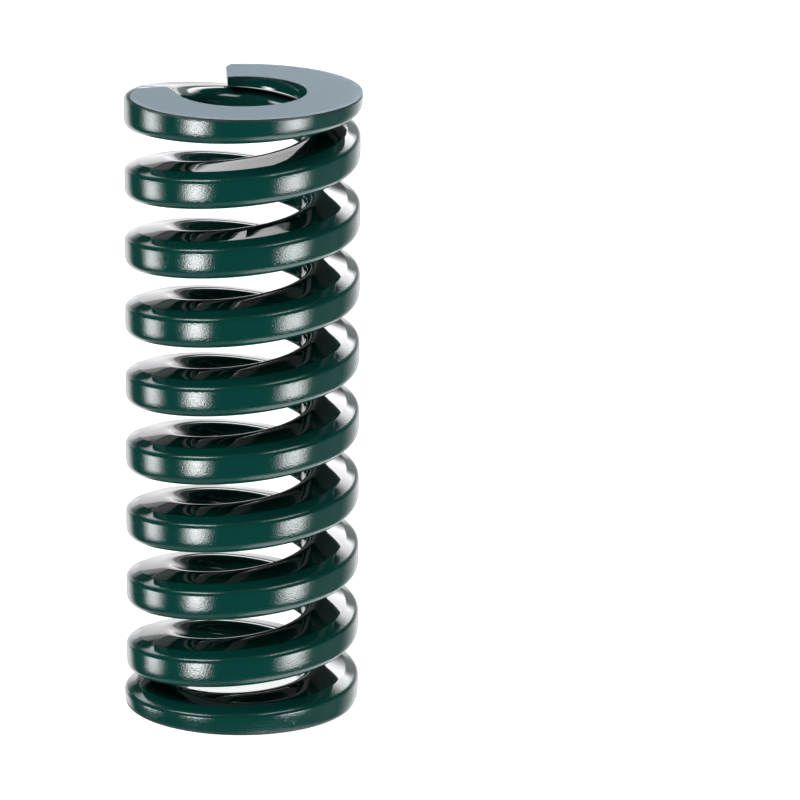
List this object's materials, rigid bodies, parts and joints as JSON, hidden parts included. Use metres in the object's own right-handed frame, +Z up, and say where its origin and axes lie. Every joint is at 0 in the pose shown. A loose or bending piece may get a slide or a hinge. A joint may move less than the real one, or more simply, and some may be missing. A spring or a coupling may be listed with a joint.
{
  "type": "die spring",
  "caption": "Helical compression spring wound from rounded rectangular wire, with closed and ground flat ends, green enamelled, for pushing tool plates apart.",
  "frame": {"origin": "centre of the bottom ground face, on the spring's axis", "axes": "+Z up along the spring's axis, +Y away from the front, towards the side where both wire tips end"},
  "size_m": [0.0296, 0.0296, 0.08],
  "materials": {
    "green_enamel": "glossy dark green enamel on spring steel, with the end faces ground bare"
  },
  "bodies": {
    "root": {"coil": "green_enamel"}
  },
  "joints": []
}
